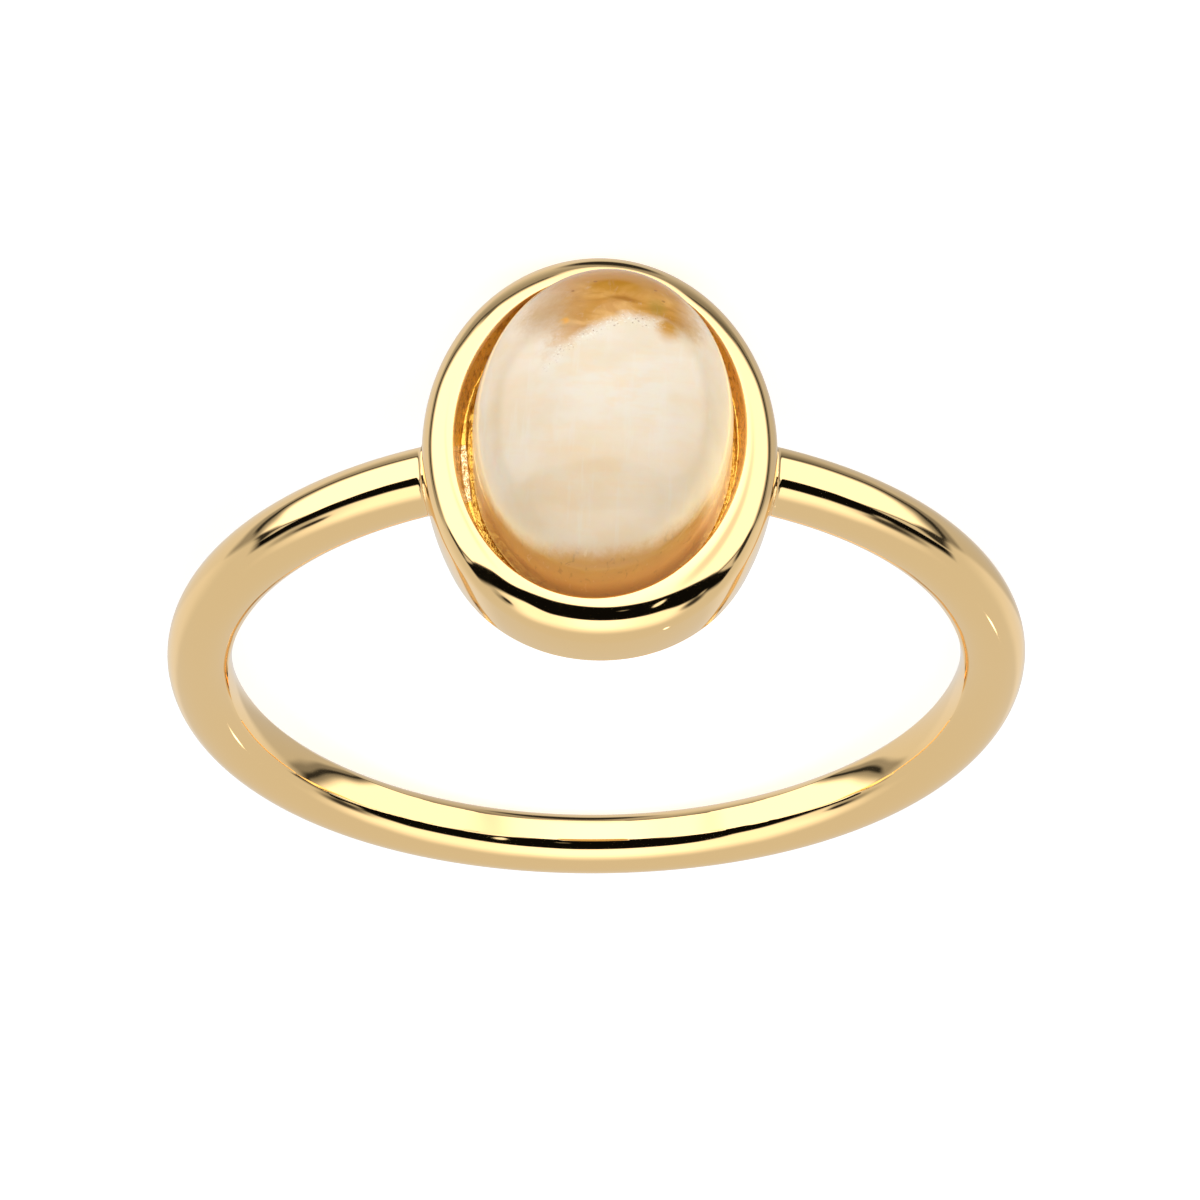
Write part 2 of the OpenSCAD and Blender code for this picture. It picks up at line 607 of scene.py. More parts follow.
def grown(host, tree, values):
    """Plain mesh object that a geometry-nodes tree makes from its host, which it replaces."""
    changer = host.modifiers.new(tree.name, "NODES")
    changer.node_group = tree
    for item in tree.interface.items_tree:
        if item.in_out == "INPUT" and item.name in values:
            changer[item.identifier] = values[item.name]
    shown = host.evaluated_get(bpy.context.evaluated_depsgraph_get())
    mesh = bpy.data.meshes.new_from_object(shown)
    made = bpy.data.objects.new(host.name + "_grown", mesh)
    bpy.context.scene.collection.objects.link(made)
    host.modifiers.remove(changer)
    bpy.data.objects.remove(host)
    return made


def make_band():
    """The band as a closed ring of wire, drawn where it lies."""
    sizes, cup = settings().band, settings().cup
    points, swell = wire_path(sizes, cup)
    count = len(points)
    mesh = bpy.data.meshes.new("band_path")
    mesh.from_pydata(points, [(i, (i + 1) % count) for i in range(count)], [])
    mesh.attributes.new("swell", "FLOAT", "POINT").data.foreach_set("value", swell)
    host = bpy.data.objects.new("band", mesh)
    bpy.context.scene.collection.objects.link(host)
    given = {
        "Wire Radius": sizes.wire / 2,
        "Finger Radius": FINGER_R,
        "Crown": sizes.crown,
        "Crease": sizes.crease,
        "Fillet": sizes.fillet,
        "Cup Radius": cup.width / 2,
        "Wall Curve": cup.wall_curve,
        "Widest Level": widest_level(cup),
        "Stretch": cup.length / cup.width,
        "Sides": sizes.sides,
        "Metal": polished_gold()
    }
    made = grown(host, wire_tree(), given)
    made.name = "wire"
    made.data.transform(UPRIGHT)
    return made


def oval_points(angles, radius, level, stretch):
    """Ring of points of an oval, drawn face up. Radius and level may differ from point to point."""
    across = np.cos(angles) * radius
    along = np.sin(angles) * radius * stretch
    return np.stack([across, along, level + 0 * angles], -1)


def opening_radius(angles, cup, turn):
    """Distance from the cup's middle to the opening's edge, on the scale of the cup's own section."""
    stretch = cup.length / cup.width
    across, along = np.cos(angles), np.sin(angles) * stretch
    c, s = math.cos(turn), math.sin(turn)
    a, b = c * across - s * along, s * across + c * along
    return 1 / np.hypot(a / (cup.opening_w / 2), b / (cup.opening_l / 2))


# Grains of the rough casting in a metre, and the seed of their pattern, which the clock would set otherwise
GRAINS = 7500
GRAIN_SEED = 1
# The casting grows rough past this depth under the rim's edge, in ledge depths
SMOOTH_TOP = 0.3
# Its smoothest part still has this share of its full depth
LEAST_ROUGH = 0.1


def roughen(ring, depth):
    """Moves a ring's points by up to a depth, given for each, as rough casting does."""
    for point, most in zip(ring, depth):
        place = Vector(point) * GRAINS
        point += np.array(noise.noise_vector(place)) * most


# The ledge is widest at this angle from the cup's side, and narrows over the next to a share of its width
LEDGE_WAY = math.radians(10)
LEDGE_SPREAD = math.radians(17)
LEDGE_LEAST = 0.15


def ledge_share(angles):
    """1 where the ledge is widest, and less to both sides of that."""
    off = np.angle(np.exp(1j * (angles - LEDGE_WAY)))
    return np.exp(-((off / LEDGE_SPREAD) ** 2))


# Shares of the floor's width at which its rings lie, of which the first few stay smooth
FLOOR_SHARES = (0.02, 0.3, 0.6, 0.8, 0.9, 0.95, 0.985)
SMOOTH_RINGS = 5

# Steps from ring to ring on each part of the cup's skin
WELL_STEPS = 12
LEDGE_STEPS = 4
INNER_WALL_STEPS = 14
EDGE_STEPS = 9
RIM_STEPS = 27
OUTER_WALL_STEPS = 17
UNDERSIDE_STEPS = 20


def hollow_rings(cup, angles, mouth, lip_level):
    """Rings of the floor, the ledge and the inner wall, from the floor's middle up to the rim's edge."""
    stretch = cup.length / cup.width
    floor = FINGER_R + cup.base_gap + cup.floor
    ledge_level = FINGER_R + cup.height - cup.ledge_depth
    ledge_out = mouth - cup.draft
    width = cup.ledge * (LEDGE_LEAST + (1 - LEDGE_LEAST) * ledge_share(angles)) * np.cos(angles) ** 2
    ledge_in = ledge_out - width
    rings = [oval_points(angles, ledge_in * share, floor, stretch) for share in FLOOR_SHARES]
    for share in np.linspace(0.03, 0.97, WELL_STEPS):
        rings.append(oval_points(angles, ledge_in, floor + (ledge_level - floor) * share, stretch))
    for share in np.linspace(0.1, 0.9, LEDGE_STEPS):
        rings.append(oval_points(angles, ledge_in + (ledge_out - ledge_in) * share, ledge_level, stretch))
    for share in np.linspace(0.04, 1, INNER_WALL_STEPS):
        level = ledge_level + (lip_level - cup.edge - ledge_level) * share
        rings.append(oval_points(angles, ledge_out + cup.draft * share, level, stretch))
    noise.seed_set(GRAIN_SEED)
    for ring in rings[SMOOTH_RINGS:]:
        under_lip = (lip_level - ring[:, 2]) / cup.ledge_depth
        roughen(ring, cup.grain * np.clip(under_lip - SMOOTH_TOP, LEAST_ROUGH, 1))
    return rings


def rim_rings(cup, angles, lip, start, lip_level):
    """Rings of the rim, over the round of its inner edge and out to the cup's widest level."""
    half = cup.width / 2
    stretch = cup.length / cup.width
    rings = []
    for turned in np.linspace(0, math.pi / 2, EDGE_STEPS)[1:]:
        radius = lip - cup.edge * math.cos(turned)
        rings.append(oval_points(angles, radius, lip_level - cup.edge * (1 - math.sin(turned)), stretch))
    for share in np.linspace(0, 1, RIM_STEPS)[1:]:
        bend = start + (math.pi / 2 - start) * share
        radius = np.maximum(half - cup.rim_round + cup.rim_round * np.sin(bend), lip)
        level = widest_level(cup) + cup.rim_round * np.cos(bend)
        rings.append(oval_points(angles, radius, level, stretch))
    return rings


def wall_radius(cup, level):
    """Distance of the outer wall from the cup's middle at a level. It shrinks slowly below the widest."""
    below = widest_level(cup) - level
    return cup.width / 2 - cup.wall_curve + np.sqrt(cup.wall_curve**2 - below**2)


# Rounds in which the wall's foot and its radius there settle
FOOT_ROUNDS = 8


def outside_rings(cup, angles):
    """Rings of the outer wall, the edge round the underside and the underside, which follows the finger."""
    stretch = cup.length / cup.width
    widest = widest_level(cup)
    under = FINGER_R + cup.base_gap

    # The level of the wall's foot follows the finger, and depends on the wall's radius there
    foot_level = widest - 0 * angles
    for _ in range(FOOT_ROUNDS):
        radius = wall_radius(cup, foot_level)
        foot_level = np.sqrt(under**2 - (radius * np.cos(angles)) ** 2) + cup.foot
    rings = []
    for share in np.linspace(0, 1, OUTER_WALL_STEPS)[1:]:
        level = widest + (foot_level - widest) * share
        radius = wall_radius(cup, level)
        rings.append(oval_points(angles, radius, level, stretch))
    foot_radius = radius
    for turned in np.linspace(0, math.pi / 2, EDGE_STEPS)[1:]:
        radius = foot_radius - cup.foot * (1 - math.cos(turned))
        ring = oval_points(angles, radius, 0, stretch)
        ring[:, 2] = np.sqrt(under**2 - ring[:, 0] ** 2) + cup.foot * (1 - math.sin(turned))
        rings.append(ring)
    for share in np.linspace(1, 0.02, UNDERSIDE_STEPS)[1:]:
        ring = oval_points(angles, radius * share, 0, stretch)
        ring[:, 2] = np.sqrt(under**2 - ring[:, 0] ** 2)
        rings.append(ring)
    return rings


def cup_rings(cup, turn):
    """Rings of the cup's skin, drawn face up, from the middle of its floor out, over the rim and under,
    and how many of them lie inside."""
    angles = np.linspace(0, 2 * math.pi, cup.sides, endpoint=False)
    mouth = opening_radius(angles, cup, turn)
    lip = mouth + cup.edge
    start = np.arcsin(np.clip((lip - (cup.width / 2 - cup.rim_round)) / cup.rim_round, 0, 1))
    lip_level = widest_level(cup) + cup.rim_round * np.cos(start)
    hollow = hollow_rings(cup, angles, mouth, lip_level)
    rim = rim_rings(cup, angles, lip, start, lip_level)
    return hollow + rim + outside_rings(cup, angles), len(hollow)


# The ledge gets the lighter copy of the casting, a painted highlight, where it has over this share of its
# full width, within this height of its level
GLITTER_SHARE = 0.66
GLITTER_HEIGHT = 0.04 * MM


def make_cup():
    """The bezel cup as a closed body, drawn where it lies."""
    cup, gold = settings().cup, settings().gold
    rings, inside = cup_rings(cup, settings().stone.turn)
    made = new_mesh_object("cup", *skinned(rings))
    made.data.materials.append(polished_gold())
    # Inside the cup the casting is a deeper orange, partly painted shade, and the ledge gets a lighter copy
    # of it, a painted highlight
    made.data.materials.append(cast_gold("cast_gold", gold.cast, *CAST_BUMPS))
    made.data.materials.append(cast_gold("bright_casting", gold.bright, *GLITTER_BUMPS))
    last_rough = 1 + (inside - 1) * cup.sides
    ledge_level = FINGER_R + cup.height - cup.ledge_depth
    for face in made.data.polygons:
        if max(face.vertices) <= last_rough:
            place = face.center
            wide = ledge_share(math.atan2(place.y * cup.width / cup.length, place.x)) > GLITTER_SHARE
            level = abs(place.z - ledge_level) < GLITTER_HEIGHT
            face.material_index = 2 if wide and level else 1
    made.data.transform(FACE_UP)
    return made


# Points round the body that cuts the wire out of the cup's hollow
PLUG_SIDES = 96


def make_plug():
    """Oval body that cuts the wire out of the cup's hollow, inside the cup's own metal."""
    cup = settings().cup
    angles = np.linspace(0, 2 * math.pi, PLUG_SIDES, endpoint=False)
    mid_wall = (cup.width / 2 + opening_radius(angles, cup, settings().stone.turn)) / 2
    low = FINGER_R + cup.base_gap + cup.floor / 2
    stretch = cup.length / cup.width
    rings = [oval_points(angles, mid_wall, level, stretch) for level in (low, low + cup.height)]
    made = new_mesh_object("plug", *skinned(rings))
    made.data.transform(FACE_UP)
    return made


def combined(first, second, operation):
    """Applies a boolean of the second object to the first and removes the second."""
    changer = first.modifiers.new(operation, "BOOLEAN")
    changer.operation = operation
    changer.solver = "MANIFOLD"
    changer.object = second
    bpy.context.view_layer.update()
    shown = first.evaluated_get(bpy.context.evaluated_depsgraph_get())
    mesh = bpy.data.meshes.new_from_object(shown)
    first.modifiers.remove(changer)
    if not mesh.polygons:
        raise RuntimeError(f"{operation} of {first.name} and {second.name} left nothing")
    first.data = mesh
    bpy.data.objects.remove(second)
    return first


def new_material(name):
    """A new material and the tools for its nodes."""
    made = bpy.data.materials.new(name)
    made.use_nodes = True
    return made, Nodes(made.node_tree)


def bumped(n, height, depth):
    """Normal of a surface with bumps of this depth."""
    return n.add("ShaderNodeBump", {"Height": height, "Distance": depth, "Strength": 1.0}, "Normal")


def colour_mix(n, base, tint, share):
    """Mixes a share of a colour into another."""
    given = {"Factor": share, 6: base, 7: tint}
    return n.add("ShaderNodeMix", given, 2, data_type="RGBA", clamp_factor=True)


def noise_value(n, place, scale, detail, roughness, seed, swirl=0.0):
    """Noise about 0.5, as a Number. The scale is one for all axes or one for each."""
    scale = scale if isinstance(scale, tuple) else (scale, scale, scale)
    moved = n.add("ShaderNodeMapping", {"Vector": place, "Location": (seed, seed, seed), "Scale": scale})
    given = {"Vector": moved, "Scale": 1.0, "Detail": detail, "Roughness": roughness, "Distortion": swirl}
    return Number(n, n.add("ShaderNodeTexNoise", given, "Fac"))


def blob(x, y, middle, reach, soft):
    """1 inside an oval patch, which fades to 0 over its outermost share."""
    away = (((x - middle[0]) / reach[0]) ** 2 + ((y - middle[1]) / reach[1]) ** 2) ** 0.5
    return 1 - away.rise(1 - soft, 1)


# Slow waves of the polish in a metre and their depth
WAVES = 650
WAVE_DEPTH = 0.02 * MM
# Hazes in a metre, the roughness between them and how much they add
HAZES = 900
POLISH = 0.045
HAZE = 0.03


def polished_gold():
    """Mirror-polished yellow gold, made once for the band and the cup."""
    name = "polished_gold"
    if name in bpy.data.materials:
        return bpy.data.materials[name]
    made, n = new_material(name)
    place = n.add("ShaderNodeTexCoord", out="Object")

    # Hand polish leaves slow waves and a haze that comes and goes
    haze = noise_value(n, place, HAZES, 3, 0.6, 2)
    waves = noise_value(n, place, WAVES, 1, 0.4, 7)
    n.shade({
        "Metallic": 1,
        "Base Color": solid(settings().gold.polished),
        "Specular Tint": solid(settings().gold.grazing),
        "Roughness": POLISH + haze.rise(0.4, 0.7) * HAZE,
        "Normal": bumped(n, waves, WAVE_DEPTH)
    })
    return made


# Bumps in a metre and their depth, in the rough casting and in its glittering part
CAST_BUMPS = (14000, 0.022 * MM)
GLITTER_BUMPS = (9000, 0.07 * MM)
# Dark patches in a metre of the rough casting
PATCHES = 6000


def cast_gold(name, colour, bumps, depth):
    """Gold left rough from casting, with this many bumps in a metre and this deep, and dark patches."""
    made, n = new_material(name)
    place = n.add("ShaderNodeTexCoord", out="Object")
    patches = noise_value(n, place, PATCHES, 3, 0.6, 9).rise(0.5, 0.62) * 0.8
    n.shade({
        "Metallic": 1,
        "Roughness": 0.16,
        "Base Color": colour_mix(n, solid(colour), solid(settings().gold.tarnish), patches),
        "Normal": bumped(n, noise_value(n, place, bumps, 2, 0.6, 4), depth)
    })
    return made


class Stone:
    """Places in the stone and its unevenness, which the coats of its colour share. In millimetres,
    x runs to the photograph's left of the stone's middle, y to below it and z up from the finger's axis."""

    def __init__(self, nodes):
        self.nodes = nodes
        self.place = nodes.add("ShaderNodeAttribute", attribute_name="face_up", out="Vector")
        self.x, self.y, self.z = nodes.parts(self.place)
        self.wobble = self.noise(1.3, 3, 0.5, 3) - 0.5
        self.fine = self.noise(6, 4, 0.7, 8) - 0.5
        kinds = settings().stone_colours
        self.tints = {name: solid(getattr(kinds, name)) for name in kinds.__annotations__}

    def noise(self, scale, detail, roughness, seed, swirl=0.0):
        """Noise over the stone."""
        return noise_value(self.nodes, self.place, scale, detail, roughness, seed, swirl)

    def blob(self, middle, reach, ragged):
        """An oval patch with an edge that is soft and this ragged across."""
        return blob(self.x + self.fine * ragged, self.y, middle, reach, 0.9)

    def mixed(self, base, tint, share):
        """A share of one colour in another. Each is a socket or the name of one of the stone's colours."""
        base, tint = (self.tints[kind] if isinstance(kind, str) else kind for kind in (base, tint))
        return colour_mix(self.nodes, base, tint, share)


def milky_body(stone):
    """Milky body with clouds, and fine layers on a slant that run across."""
    n, x, y = stone.nodes, stone.x, stone.y
    slant = y * math.cos(VIEW_ANGLE) - stone.z * math.sin(VIEW_ANGLE)
    layered = n.add("ShaderNodeCombineXYZ", {"X": x, "Y": slant})
    clouds = stone.noise((0.5, 0.8, 0.5), 3, 0.5, 5)
    layers = noise_value(n, layered, (0.55, 3.2, 1), 4, 0.62, 1)
    blotches = noise_value(n, layered, (0.8, 1.5, 1), 3, 0.6, 33)
    veins = stone.noise((4, 0.5, 0), 3, 0.6, 11)
    colour = stone.mixed("milk", "pale_milk", clouds.rise(0.4, 0.62) * 0.8)
    colour = stone.mixed(colour, "peach", y.rise(0.2, 3.4).most(abs(x).rise(1.0, 2.6)) * 0.42)
    colour = stone.mixed(colour, "peach", blotches.rise(0.5, 0.62) * (1 - abs(x).rise(0.6, 2.2)) * 0.28)
    colour = stone.mixed(colour, "peach", layers.rise(0.46, 0.7) * 0.22)
    return stone.mixed(colour, "pale_milk", veins.rise(0.52, 0.7) * 0.35)


def cloud_edge(stone):
    """Place of the amber cloud's ragged, slanting lower edge."""
    return -1.4 + 0.5 * stone.x + 0.25 * stone.x * stone.x + stone.wobble * 0.5 + stone.fine * 0.25


def amber_cloud(stone, colour, edge):
    """Lays an amber cloud with slow swirls and two drips over the body."""
    x, y, fine = stone.x, stone.y, stone.fine
    cloud = 1 - y.rise(edge - 0.3, edge + 0.16)
    cloud = cloud * (1 - (x + fine * 0.8).rise(0.85, 1.6)) * (x + fine * 0.3).rise(-2.3, -1.35)
    cloud = cloud.most(stone.blob((0.9, -1.15), (0.4, 0.6), 0.4) * 0.8)
    cloud = cloud.most(stone.blob((-1.35, -1.55), (0.42, 0.6), 0.3))
    swirl = stone.noise((0.9, 1.7, 0.9), 5, 0.55, 14, 1.1)
    wisps = stone.noise((2.2, 1.2, 1.6), 4, 0.6, 41, 1.4)
    amber = stone.mixed("pale_amber", "amber", swirl.rise(0.32, 0.6))
    amber = stone.mixed(amber, "deep_amber", swirl.rise(0.56, 0.74) * 0.5)
    amber = stone.mixed(amber, "pale_milk", wisps.rise(0.58, 0.76) * 0.3)
    return stone.mixed(colour, amber, cloud * (0.95 - 0.3 * x.rise(0.3, 1.4)))


def rosy_end(stone, colour):
    """Tints the end beyond the cloud and the haze at its sides, with a dark wisp, an olive smear
    and a bright spot in the cloud."""
    x, y, wobble, fine = stone.x, stone.y, stone.wobble, stone.fine
    end = (1 - (y + wobble * 0.6).rise(-3.0, -2.1)) * (1 - abs(x - 0.4).rise(1.3, 2.3))
    wisp = blob(x + fine * 0.4, y + 0.12 * x + wobble * 0.3, (-0.3, -2.24), (0.6, 0.13), 0.9)
    smear = blob(x + fine * 0.3, y + fine * 0.3, (-1.05, -2.1), (0.3, 0.42), 0.9)
    haze = blob(x + fine * 0.6, y + wobble * 0.6, (1.45, -1.9), (0.95, 1.3), 0.9)
    haze = haze.most(blob(x + fine * 0.6, y + wobble * 0.6, (-1.75, -1.9), (0.6, 0.8), 0.9) * 0.6)
    colour = stone.mixed(colour, "rose", end * 0.9)
    colour = stone.mixed(colour, "deep_amber", wisp * 0.8)
    colour = stone.mixed(colour, "olive", smear * 0.6)
    colour = stone.mixed(colour, "orange", stone.blob((1.0, -1.43), (0.14, 0.16), 0.3) * 0.8)
    return stone.mixed(colour, "rose", haze * 0.62)


# Places of the rust spots, to the photograph's left of the stone's middle and below it, and their reach
RUST_SPOTS = ((0.42, -2.79), (-0.96, -2.75), (-1.17, -2.4), (0.9, -2.45))
RUST_REACH = (0.06, 0.05)


def dusted(stone, colour, edge):
    """Adds dust and flecks along the cloud's lower edge, and a few rust spots."""
    x, y = stone.x, stone.y
    dust = stone.noise(17, 2, 0.6, 21)
    near_edge = (1 - abs(y - edge - 0.1).rise(0.02, 0.3)) * (1 - abs(x - 0.1).rise(0.9, 1.5))
    colour = stone.mixed(colour, "fleck", near_edge * dust.rise(0.58, 0.66) * 0.8)
    colour = stone.mixed(colour, "rust", near_edge * (1 - dust.rise(0.3, 0.38)) * 0.7)
    for spot in RUST_SPOTS:
        colour = stone.mixed(colour, "rust", blob(x + stone.fine * 0.1, y, spot, RUST_REACH, 0.6) * 0.6)
    return colour


def clear_foot(stone, low):
    """Colour of the clear foot: its own amber with the gold seen through it painted in, deeper low down,
    and threads in it.
    """
    depth = stone.noise((1.1, 1.6, 2.2), 3, 0.6, 17, 0.5)
    threads = stone.noise((5, 2, 2.5), 3, 0.65, 29, 0.8)
    below = stone.mixed("foot", "pale_amber", depth.rise(0.4, 0.65) * 0.6)
    below = stone.mixed(below, "amber", (1 - low.rise(9.6, 10.9)) * 0.5)
    below = stone.mixed(below, "rust", (1 - threads.rise(0.3, 0.42)) * 0.3)
    return stone.mixed(below, "painted_glow", threads.rise(0.62, 0.74) * 0.35)


# Strength of the painted glow that the stone gives off, standing in for light that comes through it to its
# thin sides and its foot
PAINTED_GLOW_STRENGTH = 0.2
# How far light spreads under the stone's surface, for red, green and blue
SPREAD = (1.0, 0.7, 0.4)
SPREAD_SCALE = 0.7 * MM


def citrine():
    """Milky citrine with an amber cloud at one end, a clear amber foot at the other, and painted glow at
    its sides and foot.
    """
    made, n = new_material("citrine")
    stone = Stone(n)
    x, y = stone.x, stone.y
    edge = cloud_edge(stone)
    colour = amber_cloud(stone, milky_body(stone), edge)
    colour = dusted(stone, rosy_end(stone, colour), edge)

    # Painted glow on the thin sides, standing in for light that comes through them, more of it at the right
    low = stone.z + stone.wobble * 0.3
    right = (x * -1).rise(0.3, 2.4)
    painted_glow = (1 - low.rise(10.7, 11.75 + 0.5 * right)) * y.rise(-2.0 - 0.8 * right, 0.6 - 1.0 * right)
    colour = stone.mixed(colour, "painted_glow", painted_glow * 0.85)

    # Foot, whose upper edge drops to both sides
    foot_level = 11.65 - 0.5 * x.rise(0.2, 1.8) - 0.2 * (x * -1).rise(0.8, 2.2)
    foot = 1 - (low - foot_level + stone.fine * 0.2).rise(-0.4, 0.15)
    foot = foot * (y + stone.wobble * 0.6).rise(1.4, 2.6)
    colour = stone.mixed(colour, clear_foot(stone, low), foot * 0.93)

    # Painted glow: the stone gives off light though it is no lamp, at the sides, at the part that the cup
    # hides and low in the foot
    hidden = (1 - low.rise(10.0, 10.6)) * 0.75
    painted_glow_side = painted_glow.most(hidden) * (1 - foot) * (1 + 0.6 * right)
    painted_glow_foot = foot * (1 - low.rise(10.3, 11.3)) * (0.6 + 0.4 * right)
    n.shade({
        "Base Color": colour,
        "Emission Color": stone.mixed("painted_glow", "orange", foot * 0.6),
        "Emission Strength": (painted_glow_side + painted_glow_foot) * PAINTED_GLOW_STRENGTH,
        "Subsurface Weight": 0.7,
        "Subsurface Radius": SPREAD,
        "Subsurface Scale": SPREAD_SCALE,
        "Roughness": 0.07,
        "IOR": 1.54,
        "Specular IOR Level": 0.32
    })
    return made


def keep_face_up(mesh):
    """Keeps each point's place on the piece as it is drawn face up, in millimetres, for its material."""
    places = np.zeros(len(mesh.vertices) * 3)
    mesh.vertices.foreach_get("co", places)
    mesh.attributes.new("face_up", "FLOAT_VECTOR", "POINT").data.foreach_set("vector", places / MM)


# Shares of the base's width at which its rings lie, and steps on the other parts of the stone's skin
BASE_SHARES = (0.02, 0.3, 0.6, 0.85, 1)
BASE_EDGE_STEPS = 6
SIDE_STEPS = 10
DOME_STEPS = 65


def stone_rings(stone, floor):
    """Rings of the stone's skin, drawn face up, from the middle of its base to its top."""
    angles = np.linspace(0, 2 * math.pi, stone.sides, endpoint=False)
    half = stone.width / 2
    stretch = stone.length / stone.width
    base = floor + stone.seat_gap
    edge = stone.edge
    rings = []
    for share in BASE_SHARES:
        rings.append(oval_points(angles, (half - edge) * share, base, stretch))
    for turned in np.linspace(0, math.pi / 2, BASE_EDGE_STEPS)[1:]:
        radius = half - edge + edge * math.sin(turned)
        rings.append(oval_points(angles, radius, base + edge * (1 - math.cos(turned)), stretch))
    for share in np.linspace(0, 1, SIDE_STEPS)[1:]:
        rings.append(oval_points(angles, half, base + edge + (stone.side - edge) * share, stretch))
    for bend in np.linspace(0, math.pi / 2, DOME_STEPS)[1:-1]:
        radius = half * math.cos(bend)
        rings.append(oval_points(angles, radius, base + stone.side + stone.dome * math.sin(bend), stretch))
    return rings


def make_stone():
    """The cabochon, drawn where it lies."""
    stone, cup = settings().stone, settings().cup
    points, faces = skinned(stone_rings(stone, FINGER_R + cup.base_gap + cup.floor))
    made = new_mesh_object("citrine_cabochon", points, faces)
    keep_face_up(made.data)
    seat = Matrix.Translation((-stone.shift, -stone.slide, 0)) @ Matrix.Rotation(-stone.turn, 4, "Z")
    made.data.transform(FACE_UP @ seat)
    made.data.materials.append(citrine())
    made.data.shade_smooth()
    return made


# Edges of the metal that turn by more than this stay crisp
CRISP = math.radians(13)


class RING_OT_metal(bpy.types.Operator):
    """Make the wire band and the bezel cup and solder them into one piece"""

    bl_idname = "ring.metal"
    bl_label = "Band and bezel"

    def execute(self, context):
        wire = combined(make_band(), make_plug(), "DIFFERENCE")
        made = combined(make_cup(), wire, "UNION")
        made.name = made.data.name = "gold_ring"
        made.data.shade_smooth()
        made.data.set_sharp_from_angle(angle=CRISP)
        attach(made, BODY)
        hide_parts(METAL_NODE)
        return {"FINISHED"}


class RING_OT_stone(bpy.types.Operator):
    """Make the citrine cabochon"""

    bl_idname = "ring.stone"
    bl_label = "Cabochon"

    def execute(self, context):
        made = make_stone()
        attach(made, BODY)
        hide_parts(STONE_NODE)
        return {"FINISHED"}


# Width of the camera's sensor in millimetres
SENSOR = 36


def make_camera():
    """Camera at the photograph's angle to the ring, aimed so that the ring's middle falls on its pixel.
    Gives the camera's axes: right, up and back."""
    sideways = Matrix.Rotation(-VIEW_TURN, 3, FINGER_WAY)
    away = sideways @ (STONE_WAY * math.cos(VIEW_ANGLE) + FINGER_WAY * math.sin(VIEW_ANGLE))
    up = sideways @ (STONE_WAY * math.sin(VIEW_ANGLE) - FINGER_WAY * math.cos(VIEW_ANGLE))
    up = Matrix.Rotation(VIEW_ROLL, 3, away) @ up
    right = up.cross(away)
    right_of_middle = (RING_PIXEL[0] - IMAGE_PIXELS / 2) / FOCAL_PIXELS
    below_middle = (RING_PIXEL[1] - IMAGE_PIXELS / 2) / FOCAL_PIXELS
    back = (away + right * right_of_middle - up * below_middle).normalized()
    right = up.cross(back).normalized()
    up = back.cross(right)
    data = bpy.data.cameras.new("photo_view")
    data.sensor_width = SENSOR
    data.lens = FOCAL_PIXELS / IMAGE_PIXELS * SENSOR
    data.clip_start = 0.01
    camera = bpy.data.objects.new("photo_view", data)
    turned = Matrix((right, up, back)).transposed()
    camera.matrix_world = Matrix.Translation(RING_MIDDLE + away * VIEW_DISTANCE) @ turned.to_4x4()
    bpy.context.scene.collection.objects.link(camera)
    bpy.context.scene.camera = camera
    return right, up, back


# The big soft box above the photographer, in degrees: height of its middle, half width, reach up and down
BOX_HEIGHT = 25
BOX_HALF = 104
BOX_UP = 70
BOX_DOWN = 33

# Light in the seam round that box, and in the gap round the photographer
SEAM_LIGHT = 0.03
GAP_LIGHT = 0.004

# Patches of the studio, each with its light, middle, reach and softness
BOX_PATCHES = (
    (2.1, (0, -40), (28, 34), 0.6),
    (1.35, (-38, -40), (8, 30), 0.9),
    (1.0, (35, -36), (14, 34), 0.8),
    (1.6, (9, -90), (27, 17), 0.4),
    (0.03, (8, -121), (36, 13), 0.5),
    (0.14, (57, -89), (19, 9), 0.9),
    (0.14, (-41, -89), (9, 8), 0.9)
)
SHADES_UNDER_GAP = (
    (0.03, (-62, 36), (6, 8), 0.7),
    (0.05, (65, 38), (13, 14), 0.8)
)
GAP_LAMPS = (
    (1.3, (28, 1), (3, 6), 0.5),
    (0.4, (10, -3.5), (3, 1), 0.5)
)


def patched(light, x, y, patches):
    """Lays patches of other light over the studio's."""
    for strength, middle, reach, soft in patches:
        light = light.toward(strength, blob(x, y, middle, reach, soft))
    return light


def studio_boxes(x, y, near):
    """Light of the room and of the soft boxes above and below the photographer."""
    wide = abs(x)

    # Room, a little lighter far to the sides, and a box below
    light = 0.69 + 0.13 * wide.rise(96, 124)
    light = light + 0.7 * (1 - y.rise(42, 72)) * (1 - wide.rise(45, 72))
    light = light + 0.4 * (1 - y.rise(36, 58)) * (1 - wide.rise(5, 32))

    # Box above, rounder in its upper half, with a dark seam round it, past which the room grows light again
    from_middle = y + BOX_HEIGHT
    below = from_middle.rise(-0.5, 0.5)
    bend = 2.8 + 3.2 * below
    tall = BOX_UP - (BOX_UP - BOX_DOWN) * below
    box = ((wide / BOX_HALF) ** bend + (abs(from_middle) / tall) ** bend) ** (1 / bend)
    outer = 0.34 + 0.42 * box.rise(1.04, 1.5 - 0.4 * wide.rise(50, 100))
    outer = outer * (1 - 0.25 * x.rise(-30, 60))
    light = light.toward(outer, 1 - y.rise(-12, 10))
    light = light.toward(SEAM_LIGHT, box.rise(0.955, 0.98) * (1 - box.rise(0.995, 1.025)) * near)
    light = light.toward(1.8 - 0.2 * x.rise(20, 40), 1 - box.rise(0.86, 0.96))
    return patched(light, x, y, BOX_PATCHES)


